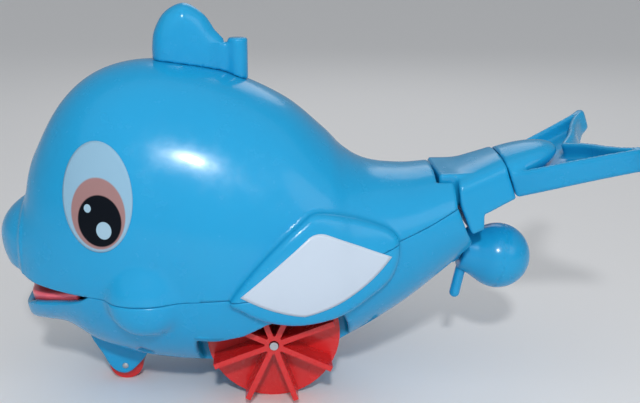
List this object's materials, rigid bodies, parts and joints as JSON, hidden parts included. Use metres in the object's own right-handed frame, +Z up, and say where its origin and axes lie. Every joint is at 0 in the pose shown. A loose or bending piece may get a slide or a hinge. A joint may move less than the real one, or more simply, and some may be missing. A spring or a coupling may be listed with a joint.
{
  "type": "bath toy",
  "caption": "pull-cord bath toy in the shape of a whale, with bladed paddle wheels under its flippers, a small front wheel and a hinged tail driven by a spring drum",
  "frame": {"origin": "on the floor below the middle of the toy", "axes": "+X from the nose to the tail, +Y to the toy's right side, +Z up"},
  "size_m": [0.233, 0.0938, 0.1436],
  "materials": {
    "blue_plastic": "glossy sky-blue moulded plastic",
    "white_plastic": "smooth white plastic and printed label",
    "red_plastic": "glossy red moulded plastic",
    "pink_plastic": "pink moulded plastic",
    "dark_red_plastic": "dark red moulded plastic",
    "grey_plastic": "grey acetal",
    "cream_plastic": "natural acetal",
    "rubber": "black soft rubber",
    "steel": "plated steel",
    "cord": "twisted white nylon cord"
  },
  "bodies": {
    "body": {"upper_shell": "blue_plastic", "lower_shell": "blue_plastic", "dorsal_fin": "blue_plastic", "tongue": "pink_plastic", "mouth_lining": "dark_red_plastic", "eye_left": "white_plastic", "eye_right": "white_plastic", "flipper_panel_left": "white_plastic", "flipper_panel_right": "white_plastic", "axle_seal_left": "rubber", "axle_seal_right": "rubber", "gear_frame_left": "grey_plastic", "gear_frame_right": "grey_plastic", "frame_screw_1": "steel", "frame_screw_2": "steel", "frame_screw_3": "steel", "frame_screw_4": "steel", "shell_screw_1": "steel", "shell_screw_2": "steel", "shell_screw_3": "steel", "shell_screw_4": "steel", "idler_shaft": "steel", "drum_shaft": "steel", "mainspring": "steel", "tail_pin": "steel", "front_axle": "steel", "cord_eyelet": "blue_plastic"},
    "paddles": {"drive_axle": "steel", "axle_pinion": "cream_plastic", "paddle_wheel_left": "red_plastic", "paddle_wheel_right": "red_plastic"},
    "idler": {"idler_gear": "cream_plastic"},
    "drum_drive": {"drum_gear": "cream_plastic", "ratchet_pawl": "grey_plastic"},
    "drum": {"cord_drum": "cream_plastic", "cord_winding": "cord"},
    "handle": {"pull_cord": "cord", "pull_knob": "blue_plastic", "knob_crossbar": "blue_plastic"},
    "front_roller": {"front_wheel": "red_plastic"},
    "tail": {"tail_stock": "blue_plastic", "tail_fluke": "blue_plastic"},
    "push_rod": {"tail_push_rod": "grey_plastic"}
  },
  "joints": [
    {"name": "axle_spin", "type": "hinge", "parent": "body", "child": "paddles", "pos_m": [-0.0153, 0, 0.0245], "axis": [0, 1, 0], "continuous": true},
    {"name": "idler_spin", "type": "hinge", "parent": "body", "child": "idler", "pos_m": [-0.01442, 0, 0.04078], "axis": [0, 1, 0], "continuous": true},
    {"name": "drum_gear_spin", "type": "hinge", "parent": "body", "child": "drum_drive", "pos_m": [-0.03724, 0, 0.05751], "axis": [0, 1, 0], "continuous": true},
    {"name": "cord_pull", "type": "slide", "parent": "body", "child": "handle", "axis": [0.9781, 0, -0.2079], "range_m": [0, 0.14], "stiffness_N_per_m": 20, "springref_m": -0.1},
    {"name": "drum_spin", "type": "hinge", "parent": "body", "child": "drum", "pos_m": [-0.03724, 0, 0.05751], "axis": [0, 1, 0], "range_deg": [0, 672]},
    {"name": "front_wheel_spin", "type": "hinge", "parent": "body", "child": "front_roller", "pos_m": [-0.0725, 0, 0.0065], "axis": [0, 1, 0], "continuous": true},
    {"name": "tail_flap", "type": "hinge", "parent": "body", "child": "tail", "pos_m": [0.0482, 0, 0.0773], "axis": [0, -1, 0], "range_deg": [0, 10]},
    {"name": "rod_slide", "type": "slide", "parent": "body", "child": "push_rod", "axis": [0.951, 0, 0.3091], "range_m": [0, 0.0028]}
  ],
  "couplings": [
    {"joint": "idler_spin", "follows": "axle_spin", "ratio": -0.6},
    {"joint": "drum_gear_spin", "follows": "axle_spin", "ratio": 0.33333},
    {"joint": "drum_spin", "follows": "cord_pull", "rad_per_m": 83.333},
    {"joint": "rod_slide", "follows": "tail_flap", "m_per_rad": 0.015626}
  ]
}
